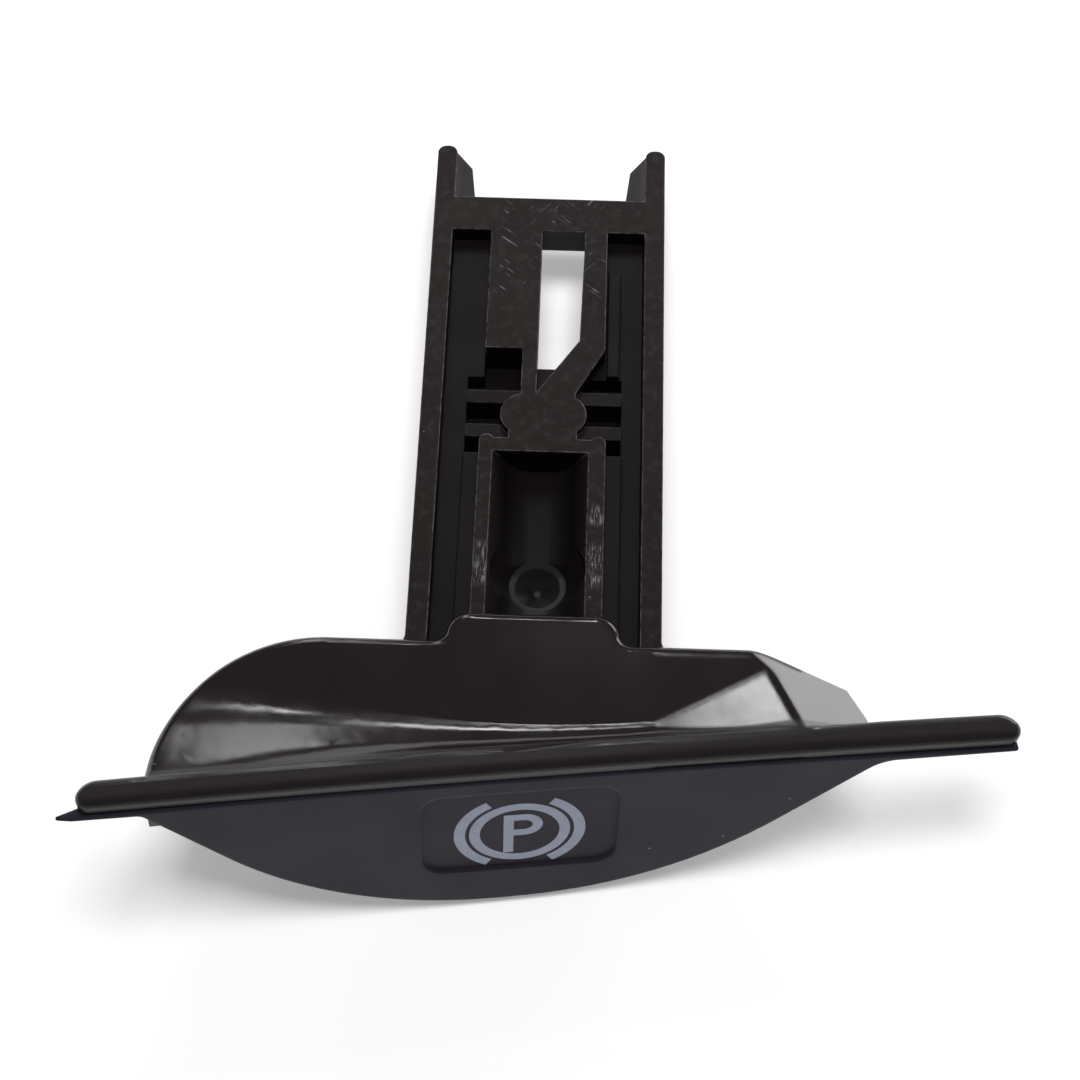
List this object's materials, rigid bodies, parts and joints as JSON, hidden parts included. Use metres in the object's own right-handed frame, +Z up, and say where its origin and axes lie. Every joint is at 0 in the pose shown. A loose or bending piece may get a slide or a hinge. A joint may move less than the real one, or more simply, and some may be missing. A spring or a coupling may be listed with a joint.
{
  "type": "handbrake handle",
  "caption": "T-shaped pull handle of a parking brake: wide glossy grip with a matte front cover and finger recesses, on a channelled stem that slides in a guide.",
  "frame": {"origin": "centre of the bounding box at the surface that the handle lies on", "axes": "+X to the right across the grip, seen from the front; +Y away from the front, along the stem as seen from above; +Z up"},
  "size_m": [0.1148, 0.1068, 0.0306],
  "materials": {
    "handle_moulding": "black moulded plastic, polished on the grip and satin on the stem",
    "front_cover": "dark grey plastic with a fine matte grain"
  },
  "bodies": {
    "root": {"handle_moulding": "handle_moulding", "front_cover": "front_cover"}
  },
  "joints": []
}
